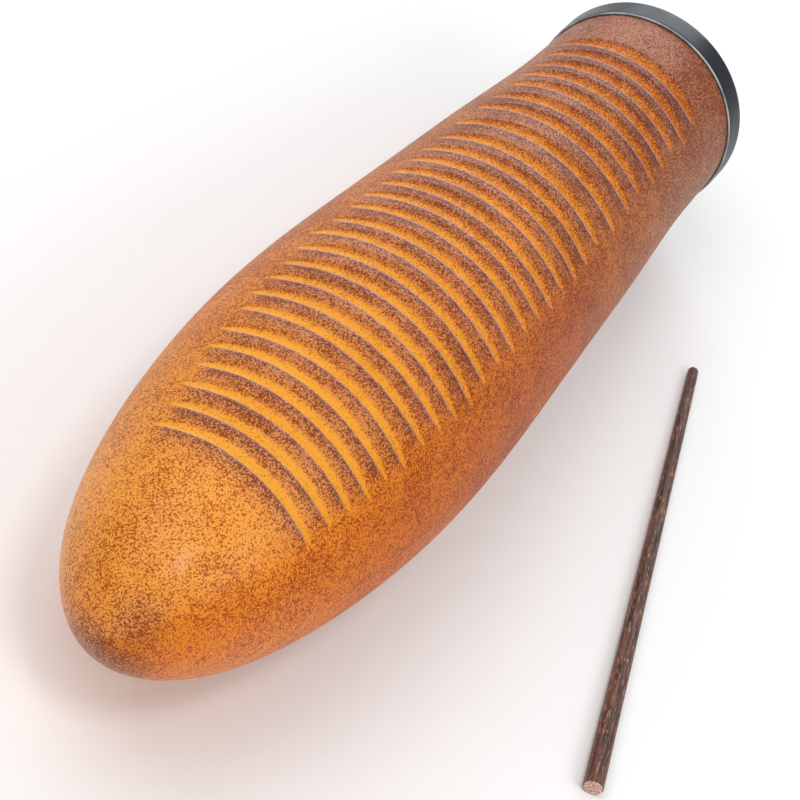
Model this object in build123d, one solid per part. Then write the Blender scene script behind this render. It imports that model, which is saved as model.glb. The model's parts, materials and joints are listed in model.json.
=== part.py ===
"""Guiro: a hollow glass-fibre body with moulded ribs, a rubber rim on its open mouth, and a wooden scraper.

Millimetres. The pieces are first made in the body's own frame: X runs along the body's axis from the
mouth to the nose, Z points through the middle of the ribs. The body then lies down on its belly and its
rubber rim, ribs up, with the scraper beside it, and the origin is the floor point under the middle of
the whole set.
"""

from build123d import *
from math import atan2, cos, degrees, radians
import os

# Rubber rim, a channel pushed over the edge of the mouth
RIM_RADIUS = 39.9
RIM_DEPTH = 11.2
RIM_END = 2.5  # rubber behind the edge of the laminate
RIM_BORE_RADIUS = 32.4
RIM_BACK_FILLET = 1.5
RIM_FRONT_FILLET = 0.9

# Body
LENGTH = 380.0  # from the rim's end face to the nose tip
WALL = 3.5  # laminate thickness
OUTLINE = [  # distance from the rim's end face, outer radius
    (RIM_END, 37.9),
    (60.0, 41.1),
    (120.0, 45.5),
    (180.0, 49.7),
    (235.0, 51.9),
    (280.0, 49.2),
    (320.0, 42.1),
    (350.0, 32.1),
    (370.0, 19.1),
]
MOUTH_SLOPE = 0.04  # radius gained per millimetre at the mouth
INSIDE_STEPS = 16  # points that carry the inside outline

# Ribs: the body keeps its outline at the crests, and each groove is a crescent between two crests
GROOVES = 28
FIRST_GROOVE = 38.0  # the groove nearest the mouth, from the rim's end face
PITCH = (11.5, 8.6)  # from groove to groove, at the mouth and at the nose
WIDER_GAPS = {  # hand-cut mould: gap number from the mouth, extra mm
    4: 2.2,
    5: 0.7,
    6: 4.0,
    7: 3.4,
    8: 0.7,
    10: 0.5,
    11: 0.5,
    14: 1.2,
    16: 1.5,
    17: 0.9,
    21: 1.5,
}
# Each pair is the groove nearest the mouth, then the groove nearest the nose
GROOVE_DEPTH = (2.1, 1.6)  # at the middle of a groove
GROOVE_WIDTH = (7.8, 5.6)  # at the middle of a groove
GROOVE_REACH = (47.0, 45.0)  # degrees from the middle to a groove's pointed end
GROOVE_TURN = (5.0, 0.0)  # degrees that a groove's middle sits towards -Y

# Inner tapes over the seam between the two half shells, one on each side
TAPE_THICKNESS = 1.0
TAPE_HALF_WIDTH = 10.0
TAPE_START = 12.0
TAPE_TIP_GAP = 3.0  # from the body's middle to each tape's end inside the nose
TAPE_CUT = 600.0  # a block longer and wider than the body, which cuts each tape to width

# Scraper
SCRAPER_LENGTH = 204.0
SCRAPER_THICK_RADIUS = 3.55
SCRAPER_THIN_RADIUS = 1.95
SCRAPER_TIP_DOME = 1.2
SCRAPER_CHAMFER = 0.3
SCRAPER_THICK_END = (256.5, 138.4)  # on the floor, from the point under the rim
SCRAPER_THIN_END = (61.7, 78.0)


def outline():
    """The body's outer outline, mouth to nose tip."""
    points = [*OUTLINE, (LENGTH, 0.0)]
    return Spline(*points, tangents=[(1.0, MOUTH_SLOPE), (0.0, -1.0)])


def inset_outline(curve, depth):
    """The outline moved inwards by depth, squarely to its surface."""
    points = []
    for step in range(INSIDE_STEPS + 1):
        along = step / INSIDE_STEPS
        place, way = curve @ along, curve % along
        points.append((place.X + depth * way.Y, max(place.Y - depth * way.X, 0.0)))
    return Spline(*points, tangents=[(1.0, MOUTH_SLOPE), (0.0, -1.0)])


def half_turn(outer, inner):
    """The layer between two outlines, turned half a turn about the axis, from +Y over +Z to -Y."""
    edge = Line(outer @ 0, inner @ 0)
    tip = Line(outer @ 1, inner @ 1)
    return revolve(make_face([outer, edge, inner, tip]), axis=Axis.X, revolution_arc=180)


def radius_at(curve, distance):
    """Outer radius at a distance from the rim's end face."""
    low, high = 0.0, 1.0
    while high - low > 1e-7:
        middle = (low + high) / 2
        if (curve @ middle).X < distance:
            low = middle
        else:
            high = middle
    return (curve @ low).Y


def between(pair, share):
    """The value that lies a share of the way from the first of a pair to the second."""
    return pair[0] + (pair[1] - pair[0]) * share


def groove_places():
    """Distance of each groove from the rim's end face, mouth to nose, with the mould's uneven gaps."""
    places = [FIRST_GROOVE]
    for gap in range(GROOVES - 1):
        pitch = between(PITCH, gap / (GROOVES - 2))
        places.append(places[-1] + pitch + WIDER_GAPS.get(gap, 0.0))
    return places


def groove_cutter(radius, distance, share):
    """A ring whose inner side sinks into the top and runs out at the groove's two pointed ends."""
    depth = between(GROOVE_DEPTH, share)
    width = between(GROOVE_WIDTH, share)
    end_height = radius * (1 - cos(radians(between(GROOVE_REACH, share))))
    drop = depth * (2 * radius - depth) / (2 * (end_height - depth))
    floor_radius = radius - depth + drop
    tube = (width**2 / 4 + depth**2) / (2 * depth)
    ring = Pos(distance, 0, -drop) * Rot(0, 90, 0) * Torus(floor_radius + tube, tube)
    return Rot(between(GROOVE_TURN, share), 0, 0) * ring


def groove_cutters(curve):
    cutters = []
    for number, distance in enumerate(groove_places()):
        share = number / (GROOVES - 1)
        cutters.append(groove_cutter(radius_at(curve, distance), distance, share))
    return cutters


def rim_blank():
    """The rubber channel before the laminate's edge is taken out of it."""
    section = Pos(RIM_DEPTH / 2, (RIM_RADIUS + RIM_BORE_RADIUS) / 2) * Rectangle(
        RIM_DEPTH, RIM_RADIUS - RIM_BORE_RADIUS
    )
    section = fillet(section.vertices().group_by(Axis.X)[0], RIM_BACK_FILLET)
    section = fillet(section.vertices().group_by(Axis.X)[-1], RIM_FRONT_FILLET)
    return revolve(section, axis=Axis.X)


def seam_tape(inner, tape_inner):
    """The strip that joins the half shells inside, on the +Y side, short of the nose tip."""
    layer = Rot(-90, 0, 0) * half_turn(inner, tape_inner)
    strip = Pos(TAPE_START, TAPE_TIP_GAP, 0) * Box(
        TAPE_CUT, TAPE_CUT, 2 * TAPE_HALF_WIDTH, align=(Align.MIN, Align.MIN, Align.CENTER)
    )
    return layer & strip


def body_pieces():
    """The half shells, seam tapes and rim, in the body's own frame."""
    outer = outline()
    inner = inset_outline(outer, WALL)
    upper = half_turn(outer, inner)
    lower = mirror(upper, about=Plane.XY)
    ribbed = upper
    for cutter in groove_cutters(outer):
        ribbed = ribbed - cutter
    left_tape = seam_tape(inner, inset_outline(outer, WALL + TAPE_THICKNESS))
    return {
        "ribbed_half_shell": ribbed,
        "plain_half_shell": lower,
        "seam_tape_left": left_tape,
        "seam_tape_right": mirror(left_tape, about=Plane.XZ),
        "rim_ring": rim_blank() - upper - lower,
    }


def resting_tilt(curve):
    """Slope of the axis, in degrees, when the body lies on its rim and its belly."""
    steepest = 0.0
    for distance in range(100, 300):
        rise = radius_at(curve, distance) - RIM_RADIUS
        steepest = max(steepest, degrees(atan2(rise, distance - RIM_BACK_FILLET)))
    return steepest


def scraper():
    """A straight tapered stick, thick end first, lying along X on the floor."""
    taper = degrees(atan2(SCRAPER_THICK_RADIUS - SCRAPER_THIN_RADIUS, SCRAPER_LENGTH))
    stick = Rot(0, 90, 0) * Cone(
        SCRAPER_THICK_RADIUS,
        SCRAPER_THIN_RADIUS,
        SCRAPER_LENGTH,
        align=(Align.CENTER, Align.CENTER, Align.MIN),
    )
    ends = stick.edges().filter_by(GeomType.CIRCLE).sort_by(Axis.X)
    stick = chamfer(ends[0], SCRAPER_CHAMFER)
    stick = fillet(stick.edges().filter_by(GeomType.CIRCLE).sort_by(Axis.X)[-1], SCRAPER_TIP_DOME)
    run_x = SCRAPER_THIN_END[0] - SCRAPER_THICK_END[0]
    run_y = SCRAPER_THIN_END[1] - SCRAPER_THICK_END[1]
    heading = degrees(atan2(run_y, run_x))
    return Pos(*SCRAPER_THICK_END) * Rot(0, 0, heading) * Rot(0, taper, 0) * stick


def on_floor(shapes):
    """The same shapes lowered or raised together until the lowest one touches the floor."""
    lowest = min(shape.bounding_box().min.Z for shape in shapes.values())
    return {name: Pos(0, 0, -lowest) * shape for name, shape in shapes.items()}


def floor_middle(shapes):
    """X and Y of the middle of the box around all shapes."""
    boxes = [shape.bounding_box() for shape in shapes]
    middle_x = (min(box.min.X for box in boxes) + max(box.max.X for box in boxes)) / 2
    middle_y = (min(box.min.Y for box in boxes) + max(box.max.Y for box in boxes)) / 2
    return middle_x, middle_y


def main():
    tilt = resting_tilt(outline())
    body = {name: Rot(0, -tilt, 0) * shape for name, shape in body_pieces().items()}
    pieces = {**on_floor(body), **on_floor({"scraper": scraper()})}
    middle = floor_middle(pieces.values())
    print("resting tilt", round(tilt, 3), "middle from rim", middle)
    os.makedirs("parts", exist_ok=True)
    for name, shape in pieces.items():
        export_step(Pos(-middle[0], -middle[1], 0) * shape, f"parts/{name}.step")


main()
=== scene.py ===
"""Looks of the guiro: speckled gelcoat shells with moulded grooves, rubber rim, seam tapes and scraper."""

import json
import math

import bpy
import numpy as np
from mathutils import Matrix, Vector


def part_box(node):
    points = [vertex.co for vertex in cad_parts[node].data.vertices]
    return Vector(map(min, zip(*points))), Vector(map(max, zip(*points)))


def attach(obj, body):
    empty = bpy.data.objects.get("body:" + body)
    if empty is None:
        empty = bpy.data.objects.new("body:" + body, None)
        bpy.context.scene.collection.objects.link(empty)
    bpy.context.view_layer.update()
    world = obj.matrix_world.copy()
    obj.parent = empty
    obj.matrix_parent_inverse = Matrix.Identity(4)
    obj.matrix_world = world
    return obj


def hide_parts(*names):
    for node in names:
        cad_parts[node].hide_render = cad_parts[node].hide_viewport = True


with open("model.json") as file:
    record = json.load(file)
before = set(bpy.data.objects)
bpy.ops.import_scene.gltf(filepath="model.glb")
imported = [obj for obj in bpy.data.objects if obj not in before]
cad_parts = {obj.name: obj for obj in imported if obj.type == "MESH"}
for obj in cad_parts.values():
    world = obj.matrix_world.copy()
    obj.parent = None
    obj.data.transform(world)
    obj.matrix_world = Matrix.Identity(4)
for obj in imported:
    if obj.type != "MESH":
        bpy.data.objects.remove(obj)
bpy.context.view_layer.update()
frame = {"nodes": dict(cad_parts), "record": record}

MM = 0.001

# ---------------------------------------------------------------- driving sizes, mm
LENGTH = 380.0  # from the rim's end face to the nose tip
WALL = 3.5
SHELL_START = 2.5
# The CAD outline's nine points and nine between them. The polynomial fitted to them stays within 0.6 mm of
# the CAD outline.
STATIONS = [  # distance from the rim's end face, outer radius
    (2.5, 37.9), (30.0, 39.25), (60.0, 41.1), (90.0, 43.3), (120.0, 45.5), (150.0, 47.65), (180.0, 49.7),
    (210.0, 51.3), (235.0, 51.9), (260.0, 51.1), (280.0, 49.2), (300.0, 46.2), (320.0, 42.1), (335.0, 37.9),
    (350.0, 32.1), (360.0, 26.7), (370.0, 19.1), (376.0, 12.1),
]
PROFILE_DEGREE = 8
GROOVES = 28
FIRST_GROOVE = 38.0
# gap number from the mouth, extra mm
WIDER_GAPS = {4: 2.2, 5: 0.7, 6: 4.0, 7: 3.4, 8: 0.7, 10: 0.5, 11: 0.5, 14: 1.2, 16: 1.5, 17: 0.9, 21: 1.5}
# each pair is the groove nearest the mouth, then the groove nearest the nose
PITCH = (11.5, 8.6)  # from groove to groove
GROOVE_DEPTH = (2.1, 1.6)  # at the middle of a groove
GROOVE_WIDTH = (7.8, 5.6)  # at the middle of a groove
GROOVE_REACH = (47.0, 45.0)  # degrees from the middle to a groove's pointed end
GROOVE_TURN = (5.0, 0.0)  # degrees that a groove's middle sits towards -Y
RIM_RADIUS, RIM_BORE_RADIUS, RIM_DEPTH = 39.9, 32.4, 11.2
RIM_BACK_FILLET, RIM_FRONT_FILLET, RIM_BORE_FILLET = 1.5, 0.9, 1.2
RIM_SLACK = 0.02  # between the rubber and the laminate it holds
RIM_FACE_RADIUS = 36.25  # where the rim_face mount sits on the rim's end face
SCRAPER_LENGTH, SCRAPER_THICK_RADIUS, SCRAPER_THIN_RADIUS = 204.0, 3.55, 1.95
SCRAPER_DOME, SCRAPER_CHAMFER = 1.2, 0.3
SCRAPER_RUN = (-194.8, -60.4)  # from the thick end to the thin end, seen from above

# How finely the meshes are divided
MOUTH_ROWS = 18  # before the fine rows
GROOVE_STEP = 0.5  # mm between the fine rows, over the grooves
GROOVE_MARGIN = 7.0  # mm of fine rows before the first groove and after the last
NOSE_ROWS = 60  # after the fine rows, with both ends counted
RIBBED_COLUMNS, PLAIN_COLUMNS, RIM_COLUMNS, SCRAPER_COLUMNS = 241, 141, 192, 72
SCRAPER_ROWS, DOME_ROWS = 170, 9

RNG = np.random.default_rng(7)

# ---------------------------------------------------------------- the body's own frame
MOUNT = next(m for m in frame["record"]["mounts"] if m["name"] == "rim_face")
AXIS = -Vector(MOUNT["axis"]).normalized()  # mouth to nose
SIDE = Vector((0.0, 1.0, 0.0))
RIBS_UP = AXIS.cross(SIDE).normalized()
MOUTH = Vector(MOUNT["pos_m"]) - RIM_FACE_RADIUS * MM * RIBS_UP


def placed(points, start, axes):
    """Points in a piece's own millimetres, (n, 3), to metres in the CAD frame."""
    return points @ (np.array(axes) * MM) + np.array(start)


def to_frame(points):
    return placed(points, MOUTH, (AXIS, SIDE, RIBS_UP))


def between(pair, share):
    return pair[0] + (pair[1] - pair[0]) * share


def smoothstep(low, high, x):
    t = np.clip((x - low) / (high - low), 0.0, 1.0)
    return t * t * (3.0 - 2.0 * t)


# ---------------------------------------------------------------- profile and grooves
def fit_profile():
    """r^2 / (1 - s/L) is smooth right up to the round nose, so a polynomial carries the outline."""
    s, r = np.array(STATIONS).T
    t = s / LENGTH
    return np.polynomial.Polynomial.fit(t, r * r / (1.0 - t), PROFILE_DEGREE)


PROFILE = fit_profile()


def radius(s):
    t = np.minimum(s / LENGTH, 1.0)
    return np.sqrt(np.maximum((1.0 - t) * PROFILE(t), 0.0))


def groove_places():
    places = [FIRST_GROOVE]
    for gap in range(GROOVES - 1):
        places.append(places[-1] + between(PITCH, gap / (GROOVES - 2)) + WIDER_GAPS.get(gap, 0.0))
    return np.array(places)


PLACES = groove_places()
WOBBLE_PHASE = RNG.uniform(0.0, 2.0 * math.pi, GROOVES)
WOBBLE_SIZE = RNG.uniform(0.1, 0.4, GROOVES)
DEPTH_SCALE = RNG.uniform(0.9, 1.06, GROOVES)
REACH_SHIFT = RNG.uniform(-2.0, 2.0, (2, GROOVES))
CREST_FADE = (5.2, 3.4)  # mm over which the dark crest behind a groove fades
EDGE_EASING = 0.03  # square mm, rounds the groove's edge
FAR_FROM_EDGE = 20.0  # mm, where no groove is near


def groove_at(i, s, phi):
    """One groove: depth, place across it (-1 mouth edge, 1 nose edge), mm past its nose edge, strength."""
    share = i / (GROOVES - 1)
    full, width = between(GROOVE_DEPTH, share), between(GROOVE_WIDTH, share)
    tube = (width * width / 4.0 + full * full) / (2.0 * full)
    turned = phi + math.radians(between(GROOVE_TURN, share))
    shift = np.where(turned < 0.0, REACH_SHIFT[0, i], REACH_SHIFT[1, i])
    reach = np.radians(between(GROOVE_REACH, share) + shift)
    strength = 1.0 - (turned / reach) ** 2
    floor = full * DEPTH_SCALE[i] * strength
    off = s - PLACES[i] - WOBBLE_SIZE[i] * np.sin(3.0 * phi + WOBBLE_PHASE[i])
    half = np.sqrt(np.maximum(2.0 * tube * floor - floor * floor, 1e-4))
    raw = floor - tube + np.sqrt(np.maximum(tube * tube - off * off, 0.0))
    eased = 0.5 * (raw + np.sqrt(raw * raw + EDGE_EASING))
    depth = np.where(np.abs(off) < tube, eased * smoothstep(-0.9, -0.05, raw), 0.0)
    return depth, np.clip(off / half, -1.0, 1.0), off - half, np.clip(strength, 0.0, 1.0)


def groove_field(s, phi):
    """What the mesh and the gelcoat need to know about the grooves at each point."""
    field = {key: np.zeros_like(s) for key in ("groove_depth", "groove_across", "crest", "ribbed")}
    field["edge_distance"] = np.full_like(s, FAR_FROM_EDGE)
    for i in range(GROOVES):
        depth, across, past, strength = groove_at(i, s, phi)
        deeper = depth > field["groove_depth"]
        field["groove_depth"] = np.where(deeper, depth, field["groove_depth"])
        field["groove_across"] = np.where(deeper, across, field["groove_across"])
        nearer = np.abs(past) < np.abs(field["edge_distance"])
        field["edge_distance"] = np.where(nearer, past, field["edge_distance"])
        field["ribbed"] = np.where(nearer, strength, field["ribbed"])
        fade = between(CREST_FADE, i / (GROOVES - 1))
        dark = np.where(past > -0.3, np.exp(-np.maximum(past, 0.0) / fade), 0.0)
        field["crest"] = np.maximum(field["crest"], dark * smoothstep(0.0, 0.4, strength))
    return field


# ---------------------------------------------------------------- meshes
def link(obj):
    bpy.context.scene.collection.objects.link(obj)
    return obj


def mesh_object(name, points, faces, materials=None, sharp=50.0):
    """A smooth-shaded mesh; materials gives each face's material number."""
    mesh = bpy.data.meshes.new(name)
    mesh.from_pydata(np.asarray(points).tolist(), [], np.asarray(faces, dtype=object).tolist())
    if materials is not None:
        mesh.polygons.foreach_set("material_index", np.array(materials, np.int32))
    mesh.shade_smooth()
    mesh.set_sharp_from_angle(angle=math.radians(sharp))
    return link(bpy.data.objects.new(name, mesh))


def add_attribute(obj, name, values):
    """One number for each vertex, which a material reads by name."""
    attribute = obj.data.attributes.new(name, "FLOAT", "POINT")
    attribute.data.foreach_set("value", values.astype(np.float32))


def rows_along():
    """Row places, mm: fine over the grooves, even in arc length over the nose."""
    plain = np.linspace(SHELL_START, FIRST_GROOVE - GROOVE_MARGIN, MOUTH_ROWS, endpoint=False)
    ribbed = np.arange(FIRST_GROOVE - GROOVE_MARGIN, PLACES[-1] + GROOVE_MARGIN, GROOVE_STEP)
    start = ribbed[-1] + 1.2 * GROOVE_STEP
    nose = start + (LENGTH - start) * np.sin(np.linspace(0.0, math.pi / 2.0, NOSE_ROWS)[1:-1])
    return np.concatenate([plain, ribbed, [start], nose])


def layer_points(s, phi, depth):
    """Body-frame points depth mm inside the crest outline, square to it."""
    low = np.clip(s - 0.05, SHELL_START, LENGTH - 1e-4)
    high = np.clip(s + 0.05, SHELL_START, LENGTH - 1e-4)
    slope = (radius(high) - radius(low)) / (high - low)
    size = np.sqrt(1.0 + slope * slope)
    along = s + depth * slope / size
    r = np.maximum(radius(s) - depth / size, 0.0)
    return np.stack([along, r * np.sin(phi), r * np.cos(phi)], -1).reshape(-1, 3)


def skin_faces(rows, cols, first, pole, outward):
    """Quads of a grid of vertices from first, closed by triangles onto a pole vertex."""
    index = first + np.arange(rows * cols).reshape(rows, cols)
    a, b, c, d = index[:-1, :-1], index[1:, :-1], index[1:, 1:], index[:-1, 1:]
    quads = np.stack([a, b, c, d] if outward else [a, d, c, b], -1).reshape(-1, 4).tolist()
    last = index[-1].tolist()
    fan = [[low, pole, high] if outward else [high, pole, low] for low, high in zip(last, last[1:])]
    return quads + fan


def edge_faces(rows, cols, outer_pole, inner_pole):
    """The laminate's edge at the mouth and along the two seams."""
    count = rows * cols
    faces = [[j, j + 1, count + j + 1, count + j] for j in range(cols - 1)]
    for column in (0, cols - 1):
        line = [i * cols + column for i in range(rows)]
        outer = line + [outer_pole]
        inner = [count + v for v in line] + [inner_pole]
        for a, b, c, d in zip(outer, inner, inner[1:], outer[1:]):
            faces.append([a, b, c, d] if column == 0 else [d, c, b, a])
    return faces


def half_shell(name, top):
    """A closed half shell: material 0 is the gelcoat outside, 1 the laminate inside and on the seam."""
    along = rows_along()
    columns = RIBBED_COLUMNS if top else PLAIN_COLUMNS
    turn = np.linspace(-math.pi / 2.0, math.pi / 2.0, columns) + (0.0 if top else math.pi)
    s, phi = np.meshgrid(along, turn, indexing="ij")
    field = groove_field(s, phi) if top else groove_field(s, np.full_like(phi, math.pi))
    outer = layer_points(s, phi, field["groove_depth"])
    inner = layer_points(s, phi, np.full_like(s, WALL))
    rows, cols = s.shape
    count = rows * cols
    poles = [[LENGTH, 0.0, 0.0], [LENGTH - WALL, 0.0, 0.0]]
    outside = skin_faces(rows, cols, 0, 2 * count, True)
    rest = skin_faces(rows, cols, count, 2 * count + 1, False)
    rest += edge_faces(rows, cols, 2 * count, 2 * count + 1)
    numbers = [0] * len(outside) + [1] * len(rest)
    obj = mesh_object(name, to_frame(np.concatenate([outer, inner, poles])), outside + rest, numbers)
    field["along"] = s
    field["rightward"] = np.sin(phi)
    for key, values in field.items():
        layer = values.reshape(-1)
        add_attribute(obj, key, np.concatenate([layer, layer, [values[-1, 0]] * 2]))
    return obj


def turned_faces(rings, cols, closed):
    """Quads between rings of vertices, and from the last ring back to the first when closed."""
    faces = []
    for i in range(rings if closed else rings - 1):
        k = (i + 1) % rings
        for j in range(cols):
            m = (j + 1) % cols
            faces.append([i * cols + j, i * cols + m, k * cols + m, k * cols + j])
    return faces


def corner(x, y, r, start, end, steps=8):
    """Points of a rounded corner: centre (x, y), radius r, from angle start to end in degrees."""
    angles = np.radians(np.linspace(start, end, steps))
    return [(x + r * math.cos(a), y + r * math.sin(a)) for a in angles]


def rim_outline():
    """Section of the rubber channel, (along, radius): it holds the edge of both half shells."""
    back, front, bore = RIM_BACK_FILLET, RIM_FRONT_FILLET, RIM_BORE_FILLET
    line = corner(back, RIM_RADIUS - back, back, 180.0, 90.0)
    line += [(RIM_DEPTH * share, RIM_RADIUS) for share in (0.3, 0.5, 0.7, 0.85)]
    line += corner(RIM_DEPTH - front, RIM_RADIUS - front, front, 90.0, 0.0)
    shell = [(s, float(radius(np.array(s)))) for s in (RIM_DEPTH, RIM_DEPTH / 2.0, SHELL_START)]
    shell[-1] = (SHELL_START - RIM_SLACK, shell[-1][1])
    line += [(s, r + RIM_SLACK) for s, r in shell]
    line += [(s, r - WALL - RIM_SLACK) for s, r in shell[::-1]]
    line += corner(RIM_DEPTH - bore, RIM_BORE_RADIUS + bore, bore, 0.0, -90.0)
    line += corner(bore, RIM_BORE_RADIUS + bore, bore, -90.0, -180.0)
    return np.array(line)


def rim():
    outline = rim_outline()
    turn = np.linspace(0.0, 2.0 * math.pi, RIM_COLUMNS, endpoint=False)
    rings = [np.stack([np.full_like(turn, s), r * np.sin(turn), r * np.cos(turn)], -1) for s, r in outline]
    points = to_frame(np.concatenate(rings))
    obj = mesh_object("rim_rubber_channel", points, turned_faces(len(outline), len(turn), True))
    along, r = outline.T
    # painted highlight: a bright glint line painted along the rim's front outer fillet
    edge = RIM_DEPTH - 0.3 * RIM_FRONT_FILLET
    painted_glint = np.where(r > RIM_RADIUS - RIM_FRONT_FILLET, np.exp(-((along - edge) / 0.2) ** 2), 0.0)
    add_attribute(obj, "painted_glint", np.repeat(painted_glint, len(turn)))
    return obj


def scraper_axes():
    """Where the scraper's thick end is, and its axis from thick to thin end, side and up directions."""
    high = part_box("scraper")[1]
    flat = Vector((*SCRAPER_RUN, 0.0)).normalized()
    taper = math.atan2(SCRAPER_THICK_RADIUS - SCRAPER_THIN_RADIUS, SCRAPER_LENGTH)
    axis = flat * math.cos(taper) - Vector((0.0, 0.0, math.sin(taper)))
    side = Vector((-flat.y, flat.x, 0.0))
    thick = SCRAPER_THICK_RADIUS * MM
    start = Vector((high.x - abs(flat.y) * thick, high.y - abs(flat.x) * thick, thick * math.cos(taper)))
    return start, (axis, side, axis.cross(side).normalized())


def scraper_rings(turn):
    """(place along, radius round the rod) from the chamfered sawn end to the domed thin end."""
    dome_start = SCRAPER_LENGTH - SCRAPER_DOME
    places = np.linspace(SCRAPER_CHAMFER, dome_start, SCRAPER_ROWS)
    rings = []
    for x in places:
        share = x / SCRAPER_LENGTH
        plain = between((SCRAPER_THICK_RADIUS, SCRAPER_THIN_RADIUS), share)
        facets = 0.018 * (0.5 + 0.5 * np.cos(7.0 * turn + 1.3 * math.sin(5.0 * share + 0.7)))
        waves = 0.012 * (0.5 + 0.5 * np.sin(23.0 * share + 2.0 * np.sin(turn)))
        rings.append((x, plain * (1.0 - facets) * (1.0 - waves)))
    first, last = rings[0][1], rings[-1][1]
    dome = []
    for angle in np.linspace(0.0, math.pi / 2.0, DOME_ROWS)[1:]:
        sunk = SCRAPER_DOME * (1.0 - math.cos(angle))
        dome.append((dome_start + SCRAPER_DOME * math.sin(angle), last - sunk))
    return [(0.0, first - SCRAPER_CHAMFER)] + rings + dome


def scraper(start, axes):
    """The hand-shaved rod: material 0 along the grain, 1 on the sawn thick end."""
    turn = np.linspace(0.0, 2.0 * math.pi, SCRAPER_COLUMNS, endpoint=False)
    rings = scraper_rings(turn)
    cols, count = len(turn), len(rings)
    own = [np.stack([np.full(cols, x), r * np.sin(turn), r * np.cos(turn)], -1) for x, r in rings]
    own.append(np.array([[0.0, 0.0, 0.0], [SCRAPER_LENGTH, 0.0, 0.0]]))
    thick_pole, thin_pole = count * cols, count * cols + 1
    faces = turned_faces(count, cols, False)
    numbers = [0] * len(faces)
    for j in range(cols):
        m = (j + 1) % cols
        faces += [[thick_pole, m, j], [thin_pole, (count - 1) * cols + j, (count - 1) * cols + m]]
        numbers += [1, 0]
    return mesh_object("scraper_stick", placed(np.concatenate(own), start, axes), faces, numbers, 40.0)


# ---------------------------------------------------------------- materials
class Nodes:
    """A small helper that builds and wires shader nodes."""

    def __init__(self, name):
        self.material = bpy.data.materials.new(name)
        self.material.use_nodes = True
        self.tree = self.material.node_tree
        self.shader = self.tree.nodes["Principled BSDF"]

    def new(self, kind, inputs=None, **settings):
        node = self.tree.nodes.new(kind)
        for key, value in settings.items():
            setattr(node, key, value)
        for key, value in (inputs or {}).items():
            self.feed(node.inputs[key], value)
        return node

    def feed(self, socket, value):
        if isinstance(value, bpy.types.NodeSocket):
            self.tree.links.new(value, socket)
        else:
            socket.default_value = value

    def plug(self, **inputs):
        for name, value in inputs.items():
            self.feed(self.shader.inputs[name.replace("_", " ")], value)

    def coords(self):
        return self.new("ShaderNodeTexCoord").outputs["Object"]

    def attribute(self, name):
        return self.new("ShaderNodeAttribute", attribute_name=name).outputs["Fac"]

    def noise(self, vector, scale, detail=2.0, rough=0.5, distortion=0.0):
        node = self.new("ShaderNodeTexNoise", {"Vector": vector, "Scale": scale, "Detail": detail,
                                              "Roughness": rough, "Distortion": distortion})
        return node.outputs["Fac"]

    def ramp(self, value, low, high, out_low=0.0, out_high=1.0, kind="SMOOTHSTEP"):
        node = self.new("ShaderNodeMapRange", {"Value": value, "From Min": low, "From Max": high,
                                              "To Min": out_low, "To Max": out_high})
        node.interpolation_type = kind
        return node.outputs["Result"]

    def math(self, operation, a, b=0.0, clamp=False):
        return self.new("ShaderNodeMath", {0: a, 1: b}, operation=operation, use_clamp=clamp).outputs[0]

    def total(self, *parts):
        """Sum of (value, weight) pairs."""
        result = 0.0
        for value, weight in parts:
            inputs = {0: value, 1: weight, 2: result}
            result = self.new("ShaderNodeMath", inputs, operation="MULTIPLY_ADD").outputs[0]
        return result

    def mix(self, factor, a, b):
        node = self.new("ShaderNodeMix", data_type="RGBA")
        sockets = [socket for socket in node.inputs if socket.enabled]
        for socket, value in zip(sockets, (factor, a, b)):
            self.feed(socket, value)
        return [socket for socket in node.outputs if socket.enabled][0]

    def bands(self, value, stops):
        """A colour that changes along value through (place, colour) stops."""
        node = self.new("ShaderNodeValToRGB", {"Fac": value})
        elements = node.color_ramp.elements
        while len(elements) < len(stops):
            elements.new(0.5)
        for element, (place, colour) in zip(elements, stops):
            element.position = place
            element.color = colour
        return node.outputs["Color"]

    def bump(self, height, distance, strength):
        node = self.new("ShaderNodeBump", {"Height": height, "Distance": distance, "Strength": strength})
        return node.outputs[0]


def srgb(r, g, b):
    """A display colour, 0 to 255, as the shader's linear one."""
    shares = [c / 255.0 for c in (r, g, b)]
    return (*[c / 12.92 if c <= 0.04045 else ((c + 0.055) / 1.055) ** 2.4 for c in shares], 1.0)


# place along the body from mouth (0) to nose (1), average linear colour of the plain gelcoat there
GELCOAT_ALONG = [
    (0.0, (0.34, 0.110, 0.038)), (0.27, (0.43, 0.125, 0.022)), (0.53, (0.54, 0.140, 0.012)),
    (0.77, (0.66, 0.185, 0.014)), (0.90, (0.77, 0.245, 0.022)), (1.0, (0.72, 0.215, 0.018)),
]
LIGHT_GRAIN_AND_GLINT, DARK_GRAIN = (1.20, 1.48, 2.4), (0.52, 0.30, 0.12)  # what a light and a dark speck do to it; the light specks' paler, bluer tone is partly speck paint and partly a painted glint
# linear colours of the specks on the crests, brown paint whose light specks carry a painted mauve sheen,
# and along the body inside the grooves
CREST_LIGHT_AND_SHEEN, CREST_DARK = (0.47, 0.195, 0.135, 1.0), (0.095, 0.030, 0.022, 1.0)
GROOVE_LIGHT = [(0.1, (0.78, 0.240, 0.022, 1.0)), (0.85, (0.90, 0.390, 0.040, 1.0))]
GROOVE_DARK = [(0.1, (0.36, 0.075, 0.006, 1.0)), (0.85, (0.66, 0.200, 0.010, 1.0))]
RIGHT_FLANK_SHADE = (0.92, 0.66, 0.2, 1.0)  # painted shade: multiplies the colour of the right flank, darker and a deeper orange there
# painted highlight: colour of the pale line along each groove's nose edge
EDGE_HIGHLIGHT_COLOUR = (0.58, 0.33, 0.27, 1.0)
AMBER, WHITE = (1.0, 0.72, 0.42, 1.0), (1.0, 1.0, 1.0, 1.0)
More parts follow.
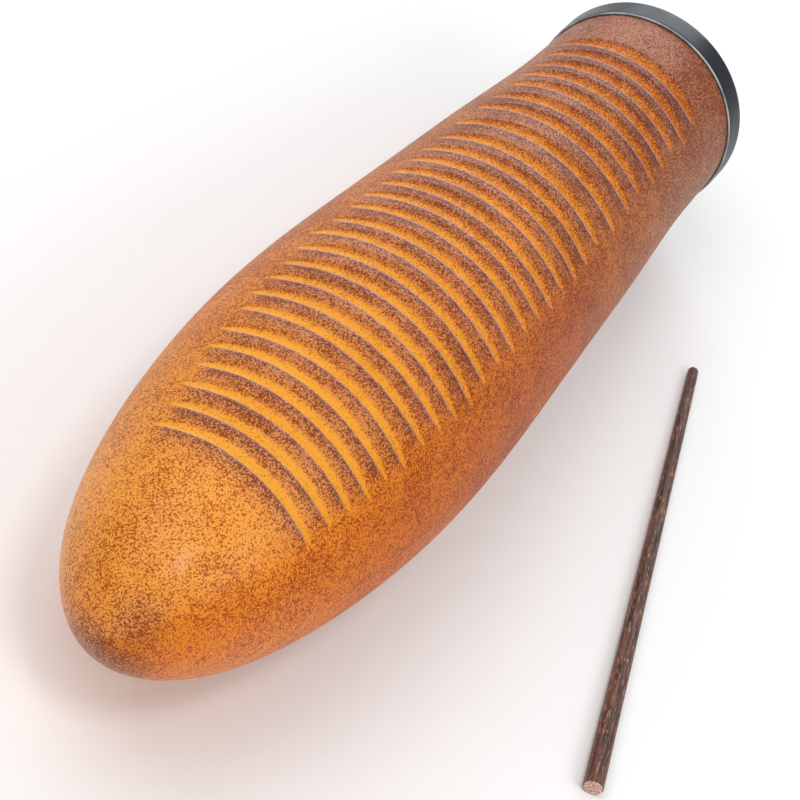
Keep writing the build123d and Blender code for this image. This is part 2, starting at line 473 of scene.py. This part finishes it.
# painted shade: darker patches low on the nose tip; middle and reach in body mm, strength
NOSE_SHADE_PATCHES = [((375.5, 7.0, 10.5), 13.0, 0.55), ((379.0, 3.0, -13.0), 25.0, 1.0)]
SPECK_SOFTNESS = 0.075  # half the range of noise over which a dark speck turns light


def grain_stops(tint):
    return [(place, (*[c * t for c, t in zip(colour, tint)], 1.0)) for place, colour in GELCOAT_ALONG]


def speck_mask(n, place, cover):
    """1 on dark specks and 0 on light ones, with the noise it comes from; cover is the share of dark."""
    fine = n.total((n.noise(place, 2000.0, 1.0), 0.5), (n.noise(place, 1300.0, 1.0), 0.38),
                   (n.noise(place, 320.0, 1.0), 0.12))
    gate = n.ramp(cover, 0.0, 1.0, 0.66, 0.34, "LINEAR")
    low = n.math("SUBTRACT", gate, SPECK_SOFTNESS)
    high = n.math("ADD", gate, SPECK_SOFTNESS)
    return n.ramp(fine, low, high), fine


def painted_nose_shade(n, place):
    """Painted shade low on the nose tip, 0 to 1."""
    result = 0.0
    for centre, reach, strength in NOSE_SHADE_PATCHES:
        spot = tuple(to_frame(np.array([centre]))[0])
        away = n.new("ShaderNodeVectorMath", {0: place, 1: spot}, operation="DISTANCE").outputs["Value"]
        result = n.math("MAXIMUM", result, n.ramp(away, reach * MM, 0.2 * reach * MM, 0.0, strength))
    return result


def groove_band(n, noseward):
    """The orange band, 0 to 1: all of a groove near the mouth, its nose half near the nose."""
    onset = n.ramp(noseward, 0.1, 0.85, -1.05, -0.8, "LINEAR")
    band = n.ramp(n.attribute("groove_across"), onset, n.math("ADD", onset, 0.7))
    return n.math("MULTIPLY", band, n.ramp(n.attribute("groove_depth"), 0.04, 0.2))


def speck_cover(n, place, noseward, crest, in_groove, nose_shade, right):
    """The share of dark specks, 0 to 1; the nose tip's painted shade patches get more of them."""
    patch = n.ramp(n.noise(place, 42.0, 3.0, 0.6), 0.36, 0.66)
    cloud = n.ramp(n.noise(place, 12.0, 2.0), 0.35, 0.65)
    clean = n.ramp(noseward, 0.3, 0.85, 0.0, -0.22, "LINEAR")
    cover = n.total((noseward, -0.15), (patch, 0.15), (cloud, 0.07), (crest, 0.24), (in_groove, clean),
                    # right: a few more dark specks on the right flank, painted shade
                    (nose_shade, 0.25), (right, 0.04))
    return n.math("ADD", cover, 0.42, clamp=True)


def speck_colours(n, noseward, crest, in_groove, nose_shade):
    """Light and dark specks' colours: crests are brown with a painted mauve sheen, grooves show the
    brighter coat below.
    """
    # crests take the brown crest colours; the painted shade patches low on the nose take them too
    crest_and_nose_shade = n.math("MAXIMUM", crest, n.math("MULTIPLY", nose_shade, 0.7))
    light = n.bands(noseward, grain_stops(LIGHT_GRAIN_AND_GLINT))
    light = n.mix(n.math("MULTIPLY", crest_and_nose_shade, 0.85), light, CREST_LIGHT_AND_SHEEN)
    light = n.mix(in_groove, light, n.bands(noseward, GROOVE_LIGHT))
    dark = n.bands(noseward, grain_stops(DARK_GRAIN))
    dark = n.mix(n.math("MULTIPLY", crest_and_nose_shade, 0.9), dark, CREST_DARK)
    dark = n.mix(in_groove, dark, n.bands(noseward, GROOVE_DARK))
    return light, dark


def shade_right_flank(n, colour, noseward, right):
    """Painted shade: the right flank is darker and a deeper orange away from the mouth."""
    right_shade = n.math("MULTIPLY", right, n.ramp(noseward, 0.1, 0.5))
    factors = {0: colour, 1: n.mix(right_shade, WHITE, RIGHT_FLANK_SHADE)}
    return n.new("ShaderNodeVectorMath", factors, operation="MULTIPLY").outputs[0]


def painted_edge_highlight(n, place, noseward):
    """A painted highlight: the paler line along each groove's nose edge, 0 to 1."""
    away = n.math("ABSOLUTE", n.math("SUBTRACT", n.attribute("edge_distance"), 0.25))
    line = n.ramp(away, 0.8, 0.15)
    line = n.math("MULTIPLY", line, n.ramp(n.attribute("ribbed"), 0.02, 0.3, 0.0, 0.8))
    line = n.math("MULTIPLY", line, n.ramp(noseward, 0.55, 0.8, 1.0, 0.35))
    return n.math("MULTIPLY", line, n.ramp(n.noise(place, 700.0), 0.35, 0.6, 0.35, 1.0))


def gelcoat():
    n = Nodes("gelcoat_speckled")
    place = n.coords()
    noseward = n.math("DIVIDE", n.attribute("along"), LENGTH)
    crest = n.attribute("crest")
    right = n.ramp(n.attribute("rightward"), 0.35, 0.95)
    in_groove = groove_band(n, noseward)
    # painted shade: darker patches low on the nose tip
    nose_shade = painted_nose_shade(n, place)
    cover = speck_cover(n, place, noseward, crest, in_groove, nose_shade, right)
    dark, fine = speck_mask(n, place, cover)
    light_colour, dark_colour = speck_colours(n, noseward, crest, in_groove, nose_shade)
    # painted shade: the right flank is darkened
    colour = shade_right_flank(n, n.mix(dark, light_colour, dark_colour), noseward, right)
    # painted highlight along each groove's nose edge
    colour = n.mix(painted_edge_highlight(n, place, noseward), colour, EDGE_HIGHLIGHT_COLOUR)
    # the lacquer's sheen is amber over the plain coat and neutral over crests and the mouth
    neutral = n.math("MAXIMUM", crest, n.ramp(noseward, 0.3, 0.05))
    n.plug(Base_Color=colour, Roughness=n.ramp(fine, 0.35, 0.65, 0.40, 0.52))
    n.plug(Normal=n.bump(fine, 0.0004, 0.6), Coat_Roughness=0.26)
    n.plug(Specular_IOR_Level=0.17, Specular_Tint=n.mix(neutral, AMBER, WHITE))
    n.plug(Coat_Weight=n.ramp(noseward, 0.8, 0.96, 0.02, 0.30))
    return n.material


def laminate():
    n = Nodes("laminate_inside")
    place = n.coords()
    fibres = n.noise(place, 260.0, 4.0, 0.6, 1.6)
    blot = n.noise(place, 40.0)
    colour = n.mix(n.ramp(fibres, 0.38, 0.62), srgb(150, 128, 84), srgb(192, 172, 124))
    colour = n.mix(n.ramp(blot, 0.4, 0.7, 0.0, 0.4), colour, srgb(120, 88, 48))
    n.plug(Base_Color=colour, Roughness=n.ramp(fibres, 0.3, 0.7, 0.45, 0.75))
    n.plug(Normal=n.bump(fibres, 0.0008, 0.5))
    return n.material


def weave(n, place, direction):
    inputs = {"Vector": place, "Scale": 160.0, "Distortion": 0.6, "Detail": 1.0, "Detail Scale": 3.0}
    return n.new("ShaderNodeTexWave", inputs, bands_direction=direction).outputs["Fac"]


def tape():
    n = Nodes("glass_tape")
    place = n.coords()
    cloth = n.math("MULTIPLY", weave(n, place, "X"), weave(n, place, "Z"))
    blot = n.noise(place, 60.0)
    colour = n.mix(cloth, srgb(170, 152, 108), srgb(214, 200, 160))
    colour = n.mix(n.ramp(blot, 0.4, 0.7, 0.0, 0.35), colour, srgb(138, 108, 64))
    n.plug(Base_Color=colour, Roughness=n.ramp(blot, 0.3, 0.7, 0.4, 0.65))
    n.plug(Normal=n.bump(cloth, 0.0005, 0.6))
    return n.material


def rubber():
    n = Nodes("rim_rubber")
    place = n.coords()
    fine = n.noise(place, 2200.0, 2.0, 0.6)
    smear = n.noise(place, 55.0, 3.0, 0.6, 0.8)
    colour = n.mix(n.ramp(smear, 0.35, 0.7), srgb(9, 11, 15), srgb(20, 25, 33))
    # painted highlight: the glint line along the front fillet is painted into the colour
    glint = n.math("MULTIPLY", n.attribute("painted_glint"), n.ramp(smear, 0.35, 0.6, 0.35, 0.85))
    colour = n.mix(glint, colour, srgb(225, 228, 232))
    dullness = n.math("SUBTRACT", n.ramp(smear, 0.3, 0.7, 0.30, 0.42), n.math("MULTIPLY", glint, 0.2))
    n.plug(Base_Color=colour, Roughness=dullness, Normal=n.bump(fine, 0.00008, 0.3))
    n.plug(Specular_IOR_Level=0.32, Specular_Tint=(0.80, 0.89, 1.0, 1.0))
    return n.material


def wood_grain(n, start, axes, squeeze):
    """Coordinates along the stick's own axes, squeezed along the grain so that noise turns into streaks."""
    places = {0: n.coords(), 1: tuple(start)}
    from_start = n.new("ShaderNodeVectorMath", places, operation="SUBTRACT").outputs[0]
    parts = []
    for direction, scale in zip(axes, (squeeze, 1.0, 1.0)):
        dot = n.new("ShaderNodeVectorMath", {0: from_start, 1: tuple(direction)}, operation="DOT_PRODUCT")
        parts.append(n.math("MULTIPLY", dot.outputs["Value"], scale))
    return n.new("ShaderNodeCombineXYZ", {"X": parts[0], "Y": parts[1], "Z": parts[2]}).outputs[0]


def long_wood(start, axes):
    """Dark wood along the stick: pinkish-brown with near-black pores and tan flecks."""
    n = Nodes("scraper_wood")
    local = wood_grain(n, start, axes, 0.07)
    streak = n.noise(local, 1300.0, 4.0, 0.7, 0.3)
    colour = n.mix(n.ramp(streak, 0.38, 0.62), srgb(40, 23, 19), srgb(124, 82, 68))
    cloud = n.noise(local, 300.0, 2.0, 0.5, 0.5)
    colour = n.mix(n.ramp(cloud, 0.45, 0.7, 0.0, 0.5), colour, srgb(74, 44, 36))
    flecks = n.noise(wood_grain(n, start, axes, 0.16), 1900.0, 1.0)
    colour = n.mix(n.ramp(flecks, 0.58, 0.72, 0.0, 0.6), colour, srgb(204, 150, 116))
    n.plug(Base_Color=colour, Roughness=n.ramp(streak, 0.3, 0.7, 0.42, 0.6))
    n.plug(Normal=n.bump(streak, 0.0003, 0.5))
    return n.material


def end_wood(start, axes):
    """The sawn end: pale pinkish tan with brown pores."""
    n = Nodes("scraper_end_grain")
    local = wood_grain(n, start, axes, 1.0)
    pores = n.noise(local, 1700.0, 3.0, 0.6)
    colour = n.mix(n.ramp(pores, 0.42, 0.58), srgb(150, 104, 88), srgb(240, 204, 186))
    colour = n.mix(n.ramp(n.noise(local, 420.0), 0.4, 0.7, 0.0, 0.4), colour, srgb(200, 152, 130))
    n.plug(Base_Color=colour, Roughness=n.ramp(pores, 0.3, 0.7, 0.5, 0.7))
    n.plug(Normal=n.bump(pores, 0.0003, 0.5))
    return n.material


def floor_material():
    n = Nodes("pale_floor")
    haze = n.noise(n.coords(), 3.0)
    colour = n.mix(haze, (0.93, 0.93, 0.93, 1.0), (0.95, 0.95, 0.95, 1.0))
    n.plug(Base_Color=colour, Roughness=0.7, Specular_IOR_Level=0.1)
    return n.material


# ---------------------------------------------------------------- the pieces
def put(obj, *materials):
    """Gives a piece its materials. Clearing an empty list would still reset the faces' material numbers."""
    if obj.data.materials:
        obj.data.materials.clear()
    for material in materials:
        obj.data.materials.append(material)


def stand_in(obj, body, node):
    """A visual piece that moves with a body in place of a CAD node."""
    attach(obj, body)
    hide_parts(node)


GELCOAT, LAMINATE, TAPE = gelcoat(), laminate(), tape()

for shell_node, is_top in (("ribbed_half_shell", True), ("plain_half_shell", False)):
    shell_skin = half_shell(shell_node + "_skin", is_top)
    put(shell_skin, GELCOAT, LAMINATE)
    stand_in(shell_skin, "guiro", shell_node)

rim_piece = rim()
put(rim_piece, rubber())
stand_in(rim_piece, "guiro", "rim_ring")

for tape_node in ("seam_tape_left", "seam_tape_right"):
    put(frame["nodes"][tape_node], TAPE)

stick_start, stick_axes = scraper_axes()
stick = scraper(stick_start, stick_axes)
put(stick, long_wood(stick_start, stick_axes), end_wood(stick_start, stick_axes))
stand_in(stick, "scraper", "scraper")


# ---------------------------------------------------------------- floor, light, camera
CENTRE = Vector((0.0, MOUTH.y, 0.05))  # the middle of the body
FLOOR_HALF = 6.0
SENSOR, LENS = 36.0, 135.0  # mm
CAMERA_PLACE = (0.7165, 0.0635, 0.7243)
CAMERA_FORWARD, CAMERA_UP = (-0.7103, -0.0983, -0.697), (-0.5099, -0.6107, 0.6058)


def floor():
    half = FLOOR_HALF
    points = [(-half, -half, 0.0), (half, -half, 0.0), (half, half, 0.0), (-half, half, 0.0)]
    obj = mesh_object("floor", points, [[0, 1, 2, 3]])
    put(obj, floor_material())


def softbox(name, azimuth, elevation, distance, across, upright, radiance, colour=(1.0, 1.0, 1.0)):
    """A rectangular light that spans the given angles, in degrees, seen from the middle of the body."""
    light = bpy.data.lights.new(name, "AREA")
    light.shape = "RECTANGLE"
    light.size = 2.0 * distance * math.tan(math.radians(across / 2.0))
    light.size_y = 2.0 * distance * math.tan(math.radians(upright / 2.0))
    light.energy = math.pi * light.size * light.size_y * radiance
    light.color = colour
    az, el = math.radians(azimuth), math.radians(elevation)
    away = Vector((math.cos(el) * math.cos(az), math.cos(el) * math.sin(az), math.sin(el)))
    obj = link(bpy.data.objects.new(name, light))
    obj.location = CENTRE + away * distance
    obj.rotation_euler = (-away).to_track_quat("-Z", "Y").to_euler()


def camera():
    data = bpy.data.cameras.new("camera")
    data.sensor_width = SENSOR
    data.lens = LENS
    data.clip_start, data.clip_end = 0.05, 50.0
    obj = link(bpy.data.objects.new("camera", data))
    forward = Vector(CAMERA_FORWARD).normalized()
    right = forward.cross(Vector(CAMERA_UP)).normalized()
    rotation = Matrix((right, right.cross(forward), -forward)).transposed().to_4x4()
    obj.matrix_world = Matrix.Translation(CAMERA_PLACE) @ rotation
    bpy.context.scene.camera = obj


def sky(strength):
    world = bpy.data.worlds.new("world")
    world.use_nodes = True
    background = world.node_tree.nodes["Background"]
    background.inputs["Color"].default_value = (1.0, 1.0, 1.0, 1.0)
    background.inputs["Strength"].default_value = strength
    bpy.context.scene.world = world


floor()
camera()
sky(0.50)
softbox("back_softbox", -160.0, 22.0, 1.6, 45.0, 30.0, 3.4, (0.93, 0.96, 1.0))
softbox("left_softbox", -55.0, 62.0, 1.5, 38.0, 38.0, 1.9)
softbox("right_softbox", 78.0, 42.0, 1.5, 32.0, 26.0, 2.3)
softbox("front_lamp", 23.0, 62.5, 1.5, 10.0, 10.0, 18.0)
bpy.context.scene.view_settings.view_transform = "Standard"
